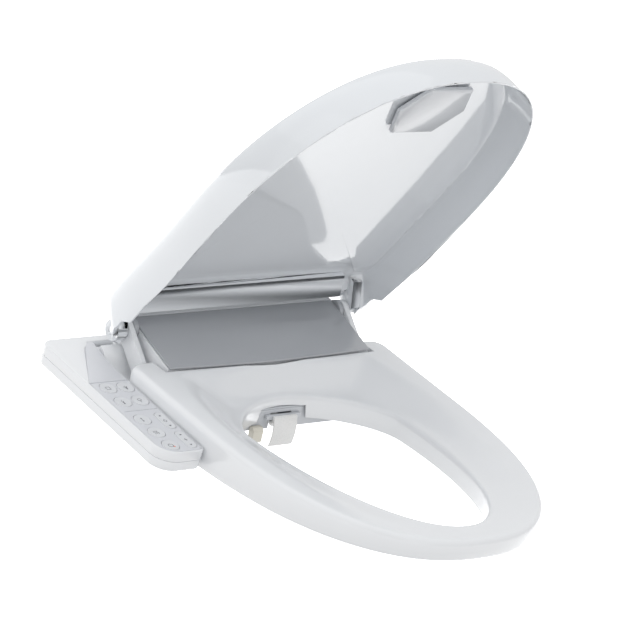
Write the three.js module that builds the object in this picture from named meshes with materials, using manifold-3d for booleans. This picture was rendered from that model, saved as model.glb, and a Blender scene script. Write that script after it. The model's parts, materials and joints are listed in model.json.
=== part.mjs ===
// Electric bidet seat, elongated pattern, lid standing open and seat ring down.
// Millimetres. +Z is up, -Y is the front, and the control arm is on the -X side.
// The origin is on the face that is bolted to the bowl, midway between the two bolts.
import * as THREE from 'three';
import { mergeVertices } from 'three/addons/utils/BufferGeometryUtils.js';
import ManifoldModule from 'manifold-3d';

const wasm = await ManifoldModule();
wasm.setup();
const { Manifold, Mesh: SolidMesh } = wasm;

// ---- driving dimensions ----
const GAP = 0.3; // clearance between neighbouring pieces of one body

const HINGE_Y = 13.4; // shared axis of the lid and the seat ring
const HINGE_Z = 91.6;
const PIN_RADIUS = 5;
const PIN_BORE_RADIUS = 5.08;

const SEAT_HALF_WIDTH = 189;
const SEAT_WIDEST_Y = -175.7;
const SEAT_TIP_Y = -458.8;
const SEAT_REAR_Y = -34;
const SEAT_CORNER = 15;
const SEAT_POWER = 2.385;
const SEAT_BOTTOM_Z = 13.4;
const SEAT_TOP_SLOPE = 0.082;
const SEAT_TOP_AT_ORIGIN = 75.08;
const SEAT_EDGE_RADIUS = 8;
const SEAT_WALL = 3;

const HOLE_HALF_WIDTH = 112.5;
const HOLE_CENTRE_Y = -178.4;
const HOLE_FRONT = 241.9;
const HOLE_REAR = 84.7;
const HOLE_FRONT_POWER = 2.12;
const HOLE_REAR_POWER = 1.75;
const HOLE_EDGE_Z = 42.5;
const HOLE_EDGE_SLOPE = 0.014;

const NOTCH_HALF_WIDTH = 156.5; // the ring's ears pass either side of the housing
const NOTCH_Y = -64.2;
const NOTCH_BOW = 3.5;
const BRIDGE_BOTTOM_Z = 29.5;
const BRIDGE_FRONT_Y = -99;

const LID_HALF_WIDTH = 192.8;
const LID_WIDEST_Y = -197.6;
const LID_TIP_Y = -475.2;
const LID_POWER = 2.3;
const LID_REAR_HALF_WIDTH = 187;
const LID_REAR_Y = 33;
const LID_CORNER = 26;
const LID_WALL = 2.8;
const LID_EDGE_AT_ORIGIN = 66.8;
const LID_CROWN_RISE = 9;
const LID_CROWN_MIDDLE_Y = -215;
const LID_TIP_RAKE = 13;
const LID_REAR_SWELL = 0.12; // the lid's edge grows deeper towards the hinge by this share
const LID_SLIDE_OUTSIDE = 0.72; // how far the rear leans forward for each millimetre of height
const LID_SLIDE_INSIDE = 1;
const LID_LUG_RADIUS = 12.5;
const LID_OPEN_DEGREES = 61.7; // from closed to the stored pose

const LUG_SEAT_IN = 158.3;
const LUG_SEAT_OUT = 165.3;
const LUG_LID_IN = 168;
const LUG_LID_OUT = 181;

const HOUSING_HALF_WIDTH = 150.5;
const SHOULDER_HALF_WIDTH = 190;
const HOUSING_REAR_Y = 58;
const HOUSING_FRONT_Y = -96;
const SPLIT_Z = 27;
const SHOULDER_TOP_Z = 72;
const PLATE_FRONT_Y = -62;
const PLATE_FRONT_Z = 75.4;
const PLATE_SLOPE = 0.3345;
const PLATE_THICK = 2.8;

const ARM_OUTER_X = -248.3;
const ARM_INNER_X = -191.5;
const ARM_FRONT = -195;
const ARM_REAR = 52;
const CHEEK_FRONT = -44; // where the panel starts to sweep up to the housing
const CHEEK_RISE = 7;
const CHEEK_REAR = 30;
const ARM_TILT = THREE.MathUtils.radToDeg(Math.atan(0.114));
const ARM_TOP_Z = 62.08;
const ARM_THICK = 25.5;
const ARM_SPLIT = 12.5;
const FASCIA_THICK = 1.4;

const ROUND_BUTTON_RADIUS = 10.2;
const BUTTON_GAP = 0.4;
const BUTTON_PROUD = 0.5;
const BUTTON_DEPTH = 6.4;
const ROUND_BUTTONS = {
  button_stop: [-229, -57.5],
  button_rear: [-205.5, -59],
  button_soft: [-229, -87],
  button_front: [-205.5, -87.5],
  button_oscillate: [-229, -125],
  button_dryer: [-229, -152],
  button_power: [-228.5, -178.5],
};
const PILL_LENGTH = 33;
const PILL_WIDTH = 13.5;
const PILL_BUTTONS = {
  button_pressure: [-202, -131.5],
  button_position: [-202, -171.5],
};

const NOZZLE_DEGREES = 30; // below the horizontal
const NOZZLE_RADIUS = 7.5;
const NOZZLE_TIP = [-92, 6.5];
const GATE_AXIS = [-104, 20];

// ---- materials ----
const COLOURS = {
  shell: 0xf1f2f3,
  underside: 0xdfe1e4,
  fascia: 0xc9ccd2,
  cap: 0xd5d8dc,
  nozzle: 0xe9e9e4,
  block: 0xcfc8b4,
  rubber: 0xb9bbbd,
  metal: 0xb8bbc0,
  board: 0x2f6b45,
  tank: 0xe3ddcf,
  motor: 0x50545a,
  foil: 0xc8a24a,
};

// ---- small helpers ----
function rad(degrees) {
  return THREE.MathUtils.degToRad(degrees);
}

function smooth(t) {
  const u = Math.min(1, Math.max(0, t));
  return u * u * (3 - 2 * u);
}

function clean(geometry) {
  const bare = new THREE.BufferGeometry();
  bare.setAttribute('position', geometry.attributes.position.clone());
  if (geometry.index) bare.setIndex(geometry.index.clone());
  return mergeVertices(bare, 1e-4);
}

function toSolid(geometry) {
  const merged = clean(geometry);
  const mesh = new SolidMesh({
    numProp: 3,
    vertProperties: new Float32Array(merged.attributes.position.array),
    triVerts: new Uint32Array(merged.index.array),
  });
  return new Manifold(mesh);
}

function toGeometry(solid) {
  const mesh = solid.getMesh();
  const geometry = new THREE.BufferGeometry();
  geometry.setAttribute('position', new THREE.BufferAttribute(new Float32Array(mesh.vertProperties), 3));
  geometry.setIndex(new THREE.BufferAttribute(new Uint32Array(mesh.triVerts), 1));
  return geometry;
}

function join(...geometries) {
  return toGeometry(geometries.map(toSolid).reduce((a, b) => a.add(b)));
}

function cut(geometry, ...tools) {
  return toGeometry(tools.map(toSolid).reduce((a, b) => a.subtract(b), toSolid(geometry)));
}

function common(a, b) {
  return toGeometry(toSolid(a).intersect(toSolid(b)));
}

function extrude(points, length) {
  const shape = new THREE.Shape(points.map(([x, y]) => new THREE.Vector2(x, y)));
  return new THREE.ExtrudeGeometry(shape, { depth: length, bevelEnabled: false, curveSegments: 1 });
}

// a plan outline of [x, y] points, standing between two heights
function upright(points, low, high) {
  return extrude(points, high - low).translate(0, 0, low);
}

// a side outline of [y, z] points, running between two x positions
function across(points, low, high) {
  const turn = new THREE.Matrix4().makeBasis(
    new THREE.Vector3(0, 1, 0),
    new THREE.Vector3(0, 0, 1),
    new THREE.Vector3(1, 0, 0),
  );
  return extrude(points, high - low).applyMatrix4(turn).translate(low, 0, 0);
}

function box(x0, x1, y0, y1, z0, z1) {
  const geometry = new THREE.BoxGeometry(x1 - x0, y1 - y0, z1 - z0);
  return geometry.translate((x0 + x1) / 2, (y0 + y1) / 2, (z0 + z1) / 2);
}

function rodX(radius, x0, x1, y, z, sides = 32) {
  const geometry = new THREE.CylinderGeometry(radius, radius, x1 - x0, sides);
  return geometry.rotateZ(Math.PI / 2).translate((x0 + x1) / 2, y, z);
}

function rodZ(radius, x, y, z0, z1, sides = 24) {
  const geometry = new THREE.CylinderGeometry(radius, radius, z1 - z0, sides);
  return geometry.rotateX(Math.PI / 2).translate(x, y, (z0 + z1) / 2);
}

// a profile of [radius, height] points, starting and ending on the axis, turned about Z
function turned(profile, sides = 28) {
  const points = profile.map(([r, h]) => new THREE.Vector2(r, h));
  return new THREE.LatheGeometry(points, sides).rotateX(Math.PI / 2);
}

function roundedOutline(x0, x1, y0, y1, radii, steps = 5) {
  const corners = [
    [x1, y1, radii[0], 0],
    [x0, y1, radii[1], 90],
    [x0, y0, radii[2], 180],
    [x1, y0, radii[3], 270],
  ];
  const points = [];
  for (const [cx, cy, r, start] of corners) {
    const inX = cx - Math.sign(cx - (x0 + x1) / 2) * r;
    const inY = cy - Math.sign(cy - (y0 + y1) / 2) * r;
    const count = r > 0 ? steps : 0;
    for (let i = 0; i <= count; i += 1) {
      const a = rad(start + (count ? (90 * i) / count : 0));
      points.push([inX + r * Math.cos(a), inY + r * Math.sin(a)]);
    }
  }
  return points;
}

function arcPoints(y, z, radius, from, to, steps) {
  const points = [];
  for (let i = 0; i <= steps; i += 1) {
    const a = rad(from + ((to - from) * i) / steps);
    points.push([y + radius * Math.cos(a), z + radius * Math.sin(a)]);
  }
  return points;
}

// rings of equal length, each joined to the next; wrap joins the last to the first,
// otherwise the first and last rings are closed by a fan to their own middle
function loft(rings, wrap) {
  const count = rings[0].length;
  const points = rings.flat();
  const faces = [];
  const bands = wrap ? rings.length : rings.length - 1;
  for (let k = 0; k < bands; k += 1) {
    const a = k * count;
    const b = ((k + 1) % rings.length) * count;
    for (let i = 0; i < count; i += 1) {
      const j = (i + 1) % count;
      faces.push(a + i, a + j, b + j, a + i, b + j, b + i);
    }
  }
  if (!wrap) {
    for (const [ring, flip] of [[0, true], [rings.length - 1, false]]) {
      const loop = rings[ring];
      const middle = [0, 1, 2].map((c) => loop.reduce((sum, p) => sum + p[c], 0) / count);
      points.push(middle);
      for (let i = 0; i < count; i += 1) {
        const j = (i + 1) % count;
        const a = ring * count + (flip ? j : i);
        const b = ring * count + (flip ? i : j);
        faces.push(a, b, points.length - 1);
      }
    }
  }
  const geometry = new THREE.BufferGeometry();
  geometry.setAttribute('position', new THREE.Float32BufferAttribute(points.flat(), 3));
  geometry.setIndex(faces);
  return geometry;
}

// a loft that faces outward whichever way its rings ran
function closedLoft(rings, wrap) {
  const geometry = loft(rings, wrap);
  if (volume(geometry) > 0) return geometry;
  return loft(rings.map((ring) => [...ring].reverse()), wrap);
}

function volume(geometry) {
  const p = geometry.attributes.position;
  const index = geometry.index.array;
  const [a, b, c] = [new THREE.Vector3(), new THREE.Vector3(), new THREE.Vector3()];
  let total = 0;
  for (let i = 0; i < index.length; i += 3) {
    a.fromBufferAttribute(p, index[i]);
    b.fromBufferAttribute(p, index[i + 1]);
    c.fromBufferAttribute(p, index[i + 2]);
    total += a.dot(b.cross(c)) / 6;
  }
  return total;
}

function piece(name, geometry, slot) {
  const material = new THREE.MeshStandardMaterial({ color: COLOURS[slot], roughness: 0.35 });
  material.name = slot;
  const mesh = new THREE.Mesh(clean(geometry), material);
  mesh.name = name;
  return mesh;
}

// ---- outlines in plan ----
function eggWidth(y, half, widest, tip, power) {
  const t = (widest - y) / (widest - tip);
  if (t <= 0) return half;
  if (t >= 1) return 0;
  return half * (1 - t ** power) ** (1 / power);
}

function insideCorner(x, y, half, rear, corner) {
  const dx = x - (half - corner);
  const dy = y - (rear - corner);
  if (dx <= 0 || dy <= 0) return x <= half && y <= rear;
  return dx * dx + dy * dy <= corner * corner;
}

function insideSeat(x, y) {
  const wide = eggWidth(y, SEAT_HALF_WIDTH, SEAT_WIDEST_Y, SEAT_TIP_Y, SEAT_POWER);
  if (y < SEAT_WIDEST_Y) return Math.abs(x) <= wide && y > SEAT_TIP_Y;
  return insideCorner(Math.abs(x), y, SEAT_HALF_WIDTH, SEAT_REAR_Y, SEAT_CORNER);
}

function insideHole(x, y) {
  const front = y < HOLE_CENTRE_Y;
  const power = front ? HOLE_FRONT_POWER : HOLE_REAR_POWER;
  const reach = front ? HOLE_FRONT : HOLE_REAR;
  const across01 = Math.abs(x) / HOLE_HALF_WIDTH;
  const along01 = Math.abs(y - HOLE_CENTRE_Y) / reach;
  return across01 ** power + along01 ** power <= 1;
}

function lidHalfWidth(y) {
  const t = Math.max(0, (y - LID_WIDEST_Y) / (HINGE_Y - LID_WIDEST_Y));
  return LID_HALF_WIDTH - (LID_HALF_WIDTH - LID_REAR_HALF_WIDTH) * t * t;
}

function insideLid(x, y) {
  const wide = eggWidth(y, LID_HALF_WIDTH, LID_WIDEST_Y, LID_TIP_Y, LID_POWER);
  if (y < LID_WIDEST_Y) return Math.abs(x) <= wide && y > LID_TIP_Y;
  return insideCorner(Math.abs(x), y, lidHalfWidth(y), LID_REAR_Y, LID_CORNER);
}

function reachOf(inside, centreY, angle) {
  const [c, s] = [Math.cos(angle), Math.sin(angle)];
  let low = 0;
  let high = 600;
  for (let i = 0; i < 40; i += 1) {
    const middle = (low + high) / 2;
    if (inside(c * middle, centreY + s * middle)) low = middle;
    else high = middle;
  }
  return [c * low, centreY + s * low];
}

function stationAngles(dense) {
  const half = [-90];
  while (half[half.length - 1] < 89) {
    const at = half[half.length - 1];
    const near = dense.some(([from, to]) => at >= from && at < to);
    half.push(Math.min(90, at + (near ? 2.5 : 6)));
  }
  const left = half.slice(1, -1).reverse().map((a) => 180 - a);
  return [...half, ...left].map(rad);
}

function seatTop(y) {
  return SEAT_TOP_AT_ORIGIN + SEAT_TOP_SLOPE * y;
}

// ---- seat ring ----
function seatSection(outer, inner, wall) {
  const [dx, dy] = [outer[0] - inner[0], outer[1] - inner[1]];
  const width = Math.hypot(dx, dy);
  const top = seatTop(outer[1]) - wall;
  const rim = HOLE_EDGE_Z + HOLE_EDGE_SLOPE * (inner[1] + 62) - wall;
  const bottom = wall ? SEAT_BOTTOM_Z - 20 : SEAT_BOTTOM_Z;
  const edge = SEAT_EDGE_RADIUS;
  const share = 0.7 - 0.18 * smooth((inner[1] + 140) / 45); // the dish is steeper at the rear
  const crest = Math.min(width - edge - 8, width * share);
  const dish = (s) => [s, rim + (top - rim) * smooth((s - 3) / (crest - 3))];
  const outerEdge = (s) => {
    const u = 1 - s / edge;
    return [width - s - wall, top - edge * (1 - Math.sqrt(Math.max(0, 1 - u * u)))];
  };
  const inset = wall;
  const profile = [
    [1.6 + inset, bottom],
    [inset, rim - 7],
    [0.9 + inset, rim - 2.6],
    [3.4 + inset, rim - 0.5],
    ...[0, 0.26, 0.5, 0.74, 1].map((t) => dish(7 + inset + (crest - 7 - inset) * t)),
    [width - edge - 2, top],
    outerEdge(4.8),
    outerEdge(2.4),
    outerEdge(0.8),
    [width - wall, top - edge],
    [width - 1 - wall, Math.min(top - edge - 1, SEAT_BOTTOM_Z + 5)],
    [width - 3.5 - wall, bottom],
  ];
  return profile.map(([s, z]) => [inner[0] + (dx * s) / width, inner[1] + (dy * s) / width, z]);
}

function seatRing(wall) {
  const angles = stationAngles([[28, 50]]);
  const rings = angles.map((a) => {
    const outer = reachOf(insideSeat, HOLE_CENTRE_Y, a);
    const inner = reachOf(insideHole, HOLE_CENTRE_Y, a);
    return seatSection(outer, inner, wall);
  });
  return closedLoft(rings, true);
}

function bowedFront(half, y, bow, rear) {
  const points = [[half, rear], [-half, rear]];
  for (let i = 0; i <= 10; i += 1) {
    const x = -half + (2 * half * i) / 10;
    points.push([x, y - bow * (1 - (x / half) ** 2)]);
  }
  return points;
}

function seatTopShell() {
  const notch = upright(bowedFront(NOTCH_HALF_WIDTH, NOTCH_Y, NOTCH_BOW, 0), -5, 120);
  const step = box(-154, 154, BRIDGE_FRONT_Y, 0, -5, BRIDGE_BOTTOM_Z);
  const solid = cut(seatRing(0), notch, step);
  const hollow = cut(seatRing(SEAT_WALL), box(-260, 260, BRIDGE_FRONT_Y - 4, 60, -60, 160));
  return piece('seat_top_shell', cut(solid, hollow), 'shell');
}

function seatPlateOutline(offset) {
  const angles = stationAngles([[28, 50]]);
  const outline = (inside, sign) => angles.map((a) => {
    const [x, y] = reachOf(inside, HOLE_CENTRE_Y, a);
    const length = Math.hypot(x, y - HOLE_CENTRE_Y);
    const k = (length + sign * offset) / length;
    return [x * k, HOLE_CENTRE_Y + (y - HOLE_CENTRE_Y) * k];
  });
  return [outline(insideSeat, -1), outline(insideHole, 1)];
}

function seatSheet(offset, low, high, followsTop) {
  const [outer, inner] = seatPlateOutline(offset);
  const rings = outer.map((o, i) => {
    const n = inner[i];
    const lift = followsTop ? HOLE_EDGE_Z - 8 : 0;
    return [
      [n[0], n[1], low + lift],
      [o[0], o[1], low + lift],
      [o[0], o[1], high + lift],
      [n[0], n[1], high + lift],
    ];
  });
  return closedLoft(rings, true);
}

function seatBottomShell() {
  const rear = box(-260, 260, BRIDGE_FRONT_Y - 5, 60, -20, 80);
  const plate = cut(seatSheet(SEAT_WALL + 5, SEAT_BOTTOM_Z, SEAT_BOTTOM_Z + 2.4, false), rear);
  return piece('seat_bottom_shell', plate, 'underside');
}

function seatHeater() {
  const rear = box(-260, 260, BRIDGE_FRONT_Y - 12, 60, -20, 80);
  const front = box(-260, 260, -520, -352, -20, 80);
  const sheet = cut(seatSheet(22, -8, -7.2, true), rear, front);
  const left = common(sheet, box(-260, -1, -520, 60, -20, 80));
  const right = common(sheet, box(1, 260, -520, 60, -20, 80));
  return [piece('seat_heater_left', left, 'foil'), piece('seat_heater_right', right, 'foil')];
}

function seatBumper(name, x, y, turn) {
  const wide = roundedOutline(-19, 19, -7, 7, [7, 7, 7, 7], 4);
  const ring = (k, z) => wide.map(([a, b]) => [a * k, b * k, z]);
  const pad = closedLoft([ring(0.86, 0.4), ring(0.94, 1.6), ring(1, 9), ring(1, 13.1)], false);
  return piece(name, pad.rotateZ(rad(turn)).translate(x, y, 0), 'rubber');
}

function lugOutline(radius, points) {
  return [...points, ...arcPoints(HINGE_Y, HINGE_Z, radius, -70, 140, 14)];
}

function pinBore() {
  return rodX(PIN_BORE_RADIUS, -200, 200, HINGE_Y, HINGE_Z);
}

function seatLug(name, side) {
  const outline = lugOutline(12, [[SEAT_REAR_Y + GAP, 66], [SEAT_REAR_Y + GAP, 42], [-24, 44], [4, 70]]);
  const ends = [side * LUG_SEAT_IN, side * LUG_SEAT_OUT].sort((a, b) => a - b);
  return piece(name, cut(across(outline, ends[0], ends[1]), pinBore()), 'shell');
}

// ---- lid, drawn closed and then turned to its stored pose ----
function lidOutline() {
  return stationAngles([[38, 58]]).map((a) => reachOf(insideLid, LID_WIDEST_Y, a));
}

function lidNormals(outline) {
  return outline.map((_, i) => {
    const before = outline[(i + outline.length - 1) % outline.length];
    const after = outline[(i + 1) % outline.length];
    const [dx, dy] = [after[0] - before[0], after[1] - before[1]];
    const length = Math.hypot(dx, dy);
    return [dy / length, -dx / length];
  });
}

function lidEdge(y) {
  return LID_EDGE_AT_ORIGIN + SEAT_TOP_SLOPE * y;
}

// one level of the lid's wall: the tip and the rear both lean inward as they rise
function lidRing(outline, normals, offset, height, outside, lifted) {
  const swell = outside ? LID_REAR_SWELL : 0;
  const slide = outside ? LID_SLIDE_OUTSIDE : LID_SLIDE_INSIDE;
  return outline.map(([x, y], i) => {
    const [nx, ny] = normals[i];
    const front = Math.max(0, (LID_WIDEST_Y - y) / (LID_WIDEST_Y - LID_TIP_Y)) ** 2;
    const move = offset - (LID_TIP_RAKE * front * Math.min(height, 45)) / 45;
    const back = slide * smooth((y + 62) / 95) * Math.max(0, Math.min(height, 50));
    const lift = lifted ? 6.5 * smooth((y + 120) / 90) : 0;
    const tall = height * (1 + swell * smooth((y + 150) / 120));
    return [x + nx * move, y + ny * move - back, lidEdge(y) + tall + lift];
  });
}

// the lid's top is domed smoothly from its middle to its rim
function crownRise(x, y) {
  const front = y < LID_CROWN_MIDDLE_Y;
  const reach = front ? LID_CROWN_MIDDLE_Y - LID_TIP_Y - 26 : -24 - LID_CROWN_MIDDLE_Y;
  const wide = Math.max(25, eggWidth(y, 173, LID_WIDEST_Y, LID_TIP_Y + 26, LID_POWER));
  const side = Math.min(1, Math.abs(x) / wide);
  const along = Math.min(1, Math.abs(y - LID_CROWN_MIDDLE_Y) / reach);
  return LID_CROWN_RISE * (1 - side * side) * (1 - along * along);
}

function lidCrownRing(ring, scale, level) {
  return ring.map(([x, y, z]) => {
    const newX = x * scale;
    const newY = LID_CROWN_MIDDLE_Y + (y - LID_CROWN_MIDDLE_Y) * scale;
    const height = level + (z - lidEdge(y) - level) * scale * scale;
    return [newX, newY, lidEdge(newY) + height + crownRise(newX, newY)];
  });
}

function lidSolid(inset) {
  const outline = lidOutline();
  const normals = lidNormals(outline);
  const outer = [[0, 0], [1.4, 12], [2, 24], [1.2, 36], [-1.4, 45], [-6, 50.8], [-12, 53.2], [-18, 54]];
  const inner = [[-2.2, -15], [-2.2, 0], [-1.6, 12], [-2, 24], [-3.2, 36], [-4.2, 42], [-6.5, 45.4], [-20, 46]];
  const rings = (inset ? inner : outer).map(([offset, height], k) => (
    lidRing(outline, normals, offset, height, !inset, !inset && k === 0)
  ));
  const last = rings[rings.length - 1];
  for (const scale of [0.86, 0.7, 0.5, 0.28, 0.06]) rings.push(lidCrownRing(last, scale, inset ? 46 : 54));
  return closedLoft(rings, false);
}

function openLid(geometry) {
  return geometry
    .translate(0, -HINGE_Y, -HINGE_Z)
    .rotateX(-rad(LID_OPEN_DEGREES))
    .translate(0, HINGE_Y, HINGE_Z);
}

// clears the side walls over the shoulders, and the rear wall over the hinge roll
function lidRearTools() {
  const sides = across([[-38, 40], [-29.5, 67], [-26, 72], [-16.8, 81.3], [19.3, 85.6], [70, 86], [70, 40]],
    -260, 260);
  const middle = across([[-24.5, 40], [-24.5, 105.4], [0, 105.4], [1.5, 106.8], [3.2, 108], [4.6, 108.8],
    [60, 108.8], [60, 40]], -167.9, 167.9);
  return [sides, middle];
}

function lidLug(side, outer) {
  const ends = [side * LUG_LID_IN, side * LUG_LID_OUT].sort((a, b) => a - b);
  const eye = rodX(LID_LUG_RADIUS, ends[0], ends[1], HINGE_Y, HINGE_Z, 40);
  const web = across([[4, 84], [22, 84], [22, 118], [-22, 126], [-22, 104]], ends[0], ends[1]);
  return join(eye, common(web, outer));
}

// the thick inner lip of the lid that closes over the top of the hinge roll
function lidNose(outer) {
  const outline = [[-30, 109.5], [-23.4, 105.4], [-6.5, 97.2], [-5.05, 97.6], [-3.4, 101.3],
    [-1, 104.6], [2, 107.3], [4.3, 108.9], [4.3, 120], [-30, 120]];
  return common(across(outline, -152, 152), outer);
}

function lidShell() {
  const outer = lidSolid(false);
  const skin = cut(outer, lidSolid(true), ...lidRearTools());
  const lugs = [-1, 1].map((side) => lidLug(side, outer));
  const bore = rodX(PIN_BORE_RADIUS, -181.2, 181.2, HINGE_Y, HINGE_Z);
  return piece('lid_shell', openLid(cut(join(skin, lidNose(outer), ...lugs), bore)), 'shell');
}

function lidWasher(name, side) {
  const ends = [side * (LUG_SEAT_OUT + 0.4), side * (LUG_LID_IN - 0.4)].sort((a, b) => a - b);
  const disc = rodX(11, ends[0], ends[1], HINGE_Y, HINGE_Z, 32);
  const bore = rodX(PIN_RADIUS + 0.3, ends[0] - 1, ends[1] + 1, HINGE_Y, HINGE_Z, 32);
  return piece(name, cut(disc, bore), 'cap');
}

// six-sided pad under the lid's tip, following the dome
function lidPad() {
  const [midX, midY] = [43, -367];
  const plan = [[-48, 0], [-30, -42], [30, -42], [48, 0], [30, 42], [-30, 42]];
  const ring = (k, drop) => plan.map(([x, y]) => {
    const [px, py] = [midX + x * k, midY + y * k];
    return [px, py, lidEdge(py) + 46 + crownRise(px, py) - drop];
  });
  const pad = closedLoft([ring(0.9, 10), ring(1, 7.8), ring(1, 2.8)], false);
  return piece('lid_pad', openLid(pad), 'cap');
}

// ---- housing ----
function mountingPlate() {
  const outline = roundedOutline(-112, 112, -30, 38, [8, 8, 8, 8], 4);
  return piece('mounting_plate', upright(outline, 0, 3), 'metal');
}

function trayOutline(inset) {
  const f = HOUSING_FRONT_Y + inset;
  const s = HOUSING_HALF_WIDTH - inset;
  const w = SHOULDER_HALF_WIDTH - inset;
  const r = HOUSING_REAR_Y - inset;
  const shoulder = -31 + inset;
  return [
    [s - 12, f], [s, f + 10], [s, shoulder], [w, shoulder], [w, r - 10], [w - 10, r],
    [-w + 10, r], [-w, r - 10], [-w, shoulder], [-s, shoulder], [-s, f + 10], [-s + 12, f],
  ];
}

function baseTray() {
  const outer = upright(trayOutline(0), 3 + GAP, SPLIT_Z);
  const inner = upright(trayOutline(2.6), 6, SPLIT_Z + 5);
  const chute = box(-15, 17, -110, -66, -5, 22.5);
  const inlet = rodX(8.6, 170, 220, 30, 16, 24);
  return piece('base_tray', cut(outer, inner, chute, inlet), 'underside');
}

// closes the tray where it reaches forward under the seat ring
function frontCover() {
  const f = HOUSING_FRONT_Y;
  const s = HOUSING_HALF_WIDTH;
  const outline = [[s - 12, f], [s, f + 10], [s, -60.4], [-s, -60.4], [-s, f + 10], [-s + 12, f]];
  const slot = box(-12.6, 12.6, -74, -50, 20, 40);
  return piece('front_cover', cut(upright(outline, SPLIT_Z + GAP, SPLIT_Z + 1.7), slot), 'underside');
}

function plateZ(y) {
  return PLATE_FRONT_Z + PLATE_SLOPE * (y - PLATE_FRONT_Y);
}

function humpOutline(inset) {
  const under = PLATE_THICK + GAP + inset;
  const roll = arcPoints(HINGE_Y, HINGE_Z, 17.4 - inset, 42, -74, 9);
  const rearTop = inset ? [[20.3 - inset, plateZ(20) - under]] : [[20.3, plateZ(20) - under], [20.3, plateZ(20)]];
  return [
    [-60 + inset, SPLIT_Z + GAP - (inset ? 5 : 0)],
    [-60 + inset, plateZ(-60) - under],
    ...rearTop,
    ...roll,
    [17 - inset, 72],
    [17 - inset, 60 - inset],
    [HOUSING_REAR_Y - inset, 60 - inset],
    [HOUSING_REAR_Y - inset, SPLIT_Z + GAP - (inset ? 5 : 0)],
  ];
}

function shoulderOutline(inset, rear) {
  const low = SPLIT_Z + GAP - (inset ? 5 : 0);
  const ramp = [[-31, 37], [-20, 40], [-9, 46.5], [0, 56], [6, 64.5], [11, 70], [16.5, SHOULDER_TOP_Z]];
  return [
    [-31 + inset, low],
    ...ramp.map(([y, z], k) => [y + (k < 6 ? inset : -inset), z - inset]),
    [16.5 - inset, 60 - inset],
    [rear - inset, 60 - inset],
    [rear - inset, low],
  ];
}

function housingCover() {
  const hump = across(humpOutline(0), -HOUSING_HALF_WIDTH, HOUSING_HALF_WIDTH);
  const right = across(shoulderOutline(0, HOUSING_REAR_Y), 140, SHOULDER_HALF_WIDTH);
  const left = across(shoulderOutline(0, 38), -SHOULDER_HALF_WIDTH, -140);
  const humpIn = across(humpOutline(2.6), -HOUSING_HALF_WIDTH + 2.6, HOUSING_HALF_WIDTH - 2.6);
  const rightIn = across(shoulderOutline(2.6, HOUSING_REAR_Y), 130, SHOULDER_HALF_WIDTH - 2.6);
  const leftIn = across(shoulderOutline(2.6, 38), -SHOULDER_HALF_WIDTH + 2.6, -130);
  const solid = join(hump, right, left);
  const button = across(roundedOutline(-9, 9, 33, 45, [5, 5, 5, 5], 4), 180, 220);
  const slot = box(-13, 13, -66, -55, 20, 42);
  return piece('housing_cover', cut(solid, humpIn, rightIn, leftIn, button, slot), 'shell');
}

function topPlate() {
  const slab = across([
    [-80, plateZ(-80) - PLATE_THICK], [20, plateZ(20) - PLATE_THICK], [20, plateZ(20)],
    [-80, plateZ(-80)],
  ], -160, 160);
  const plan = upright(bowedFront(149.6, PLATE_FRONT_Y, NOTCH_BOW, 20.01), 40, 140);
  return piece('top_plate', common(slab, plan), 'shell');
}

function deckPanel() {
  const outline = roundedOutline(-146, 146, 24, 55, [5, 5, 5, 5], 3);
  return piece('rear_deck_panel', upright(outline, 60 + GAP, 61.8), 'underside');
}

function hingePin(name, side) {
  const ends = [side * 157.9, side * 180.7].sort((a, b) => a - b);
  return piece(name, rodX(PIN_RADIUS, ends[0], ends[1], HINGE_Y, HINGE_Z), 'metal');
}

function damper(name, side) {
  const x = side * (HOUSING_HALF_WIDTH + GAP);
  const barrel = turned([[0, 0], [12.5, 0], [12.5, 5.6], [11.5, 6.8], [0, 6.8]], 32);
  const turn = side > 0 ? Math.PI / 2 : -Math.PI / 2;
  return piece(name, barrel.rotateY(turn).translate(x, HINGE_Y, HINGE_Z), 'cap');
}

function releaseButton() {
  const cap = across(roundedOutline(-8.6, 8.6, 33.4, 44.6, [4.6, 4.6, 4.6, 4.6], 4), 180, 191.4);
  return piece('release_button', cap, 'cap');
}

// ---- control arm, drawn flat and then tilted ----
function tiltArm(geometry) {
  return geometry.rotateX(rad(ARM_TILT)).translate(0, 0, ARM_TOP_Z);
}

function armOutline(inset) {
  const main = roundedOutline(
    ARM_OUTER_X + inset, ARM_INNER_X - inset, ARM_FRONT + inset, ARM_REAR - inset,
    [0, 14 - inset, 25 - inset, 6 - inset / 2], 6,
  );
  const [first, ...rest] = main;
  const wing = -152.8 - inset;
  return [[ARM_INNER_X - inset, 40 + inset], [wing, 40 + inset], [wing, first[1]], ...rest];
}

function buttonShapes(grow) {
  const shapes = {};
  for (const [name, [x, y]] of Object.entries(ROUND_BUTTONS)) {
    const r = ROUND_BUTTON_RADIUS + grow;
    shapes[name] = roundedOutline(x - r, x + r, y - r, y + r, [r, r, r, r], 7);
  }
  for (const [name, [x, y]] of Object.entries(PILL_BUTTONS)) {
    const [a, b] = [PILL_WIDTH / 2 + grow, PILL_LENGTH / 2 + grow];
    shapes[name] = roundedOutline(x - a, x + a, y - b, y + b, [a, a, a, a], 7);
  }
  return shapes;
}

function buttonHoles() {
  return Object.values(buttonShapes(BUTTON_GAP)).map((points) => upright(points, -30, 10));
}

function armCover() {
  const outer = upright(armOutline(0), -ARM_SPLIT, 0);
  const inner = upright(armOutline(2.4), -ARM_SPLIT - 5, -3.6);
  const recess = upright(fasciaOutline(-0.3), -FASCIA_THICK - GAP, 5);
  const seat = upright(cheekOutline(-0.3), -FASCIA_THICK - GAP, 5);
  const body = cut(outer, inner, recess, seat, ...buttonHoles());
  return piece('arm_cover', tiltArm(body), 'shell');
}

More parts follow.
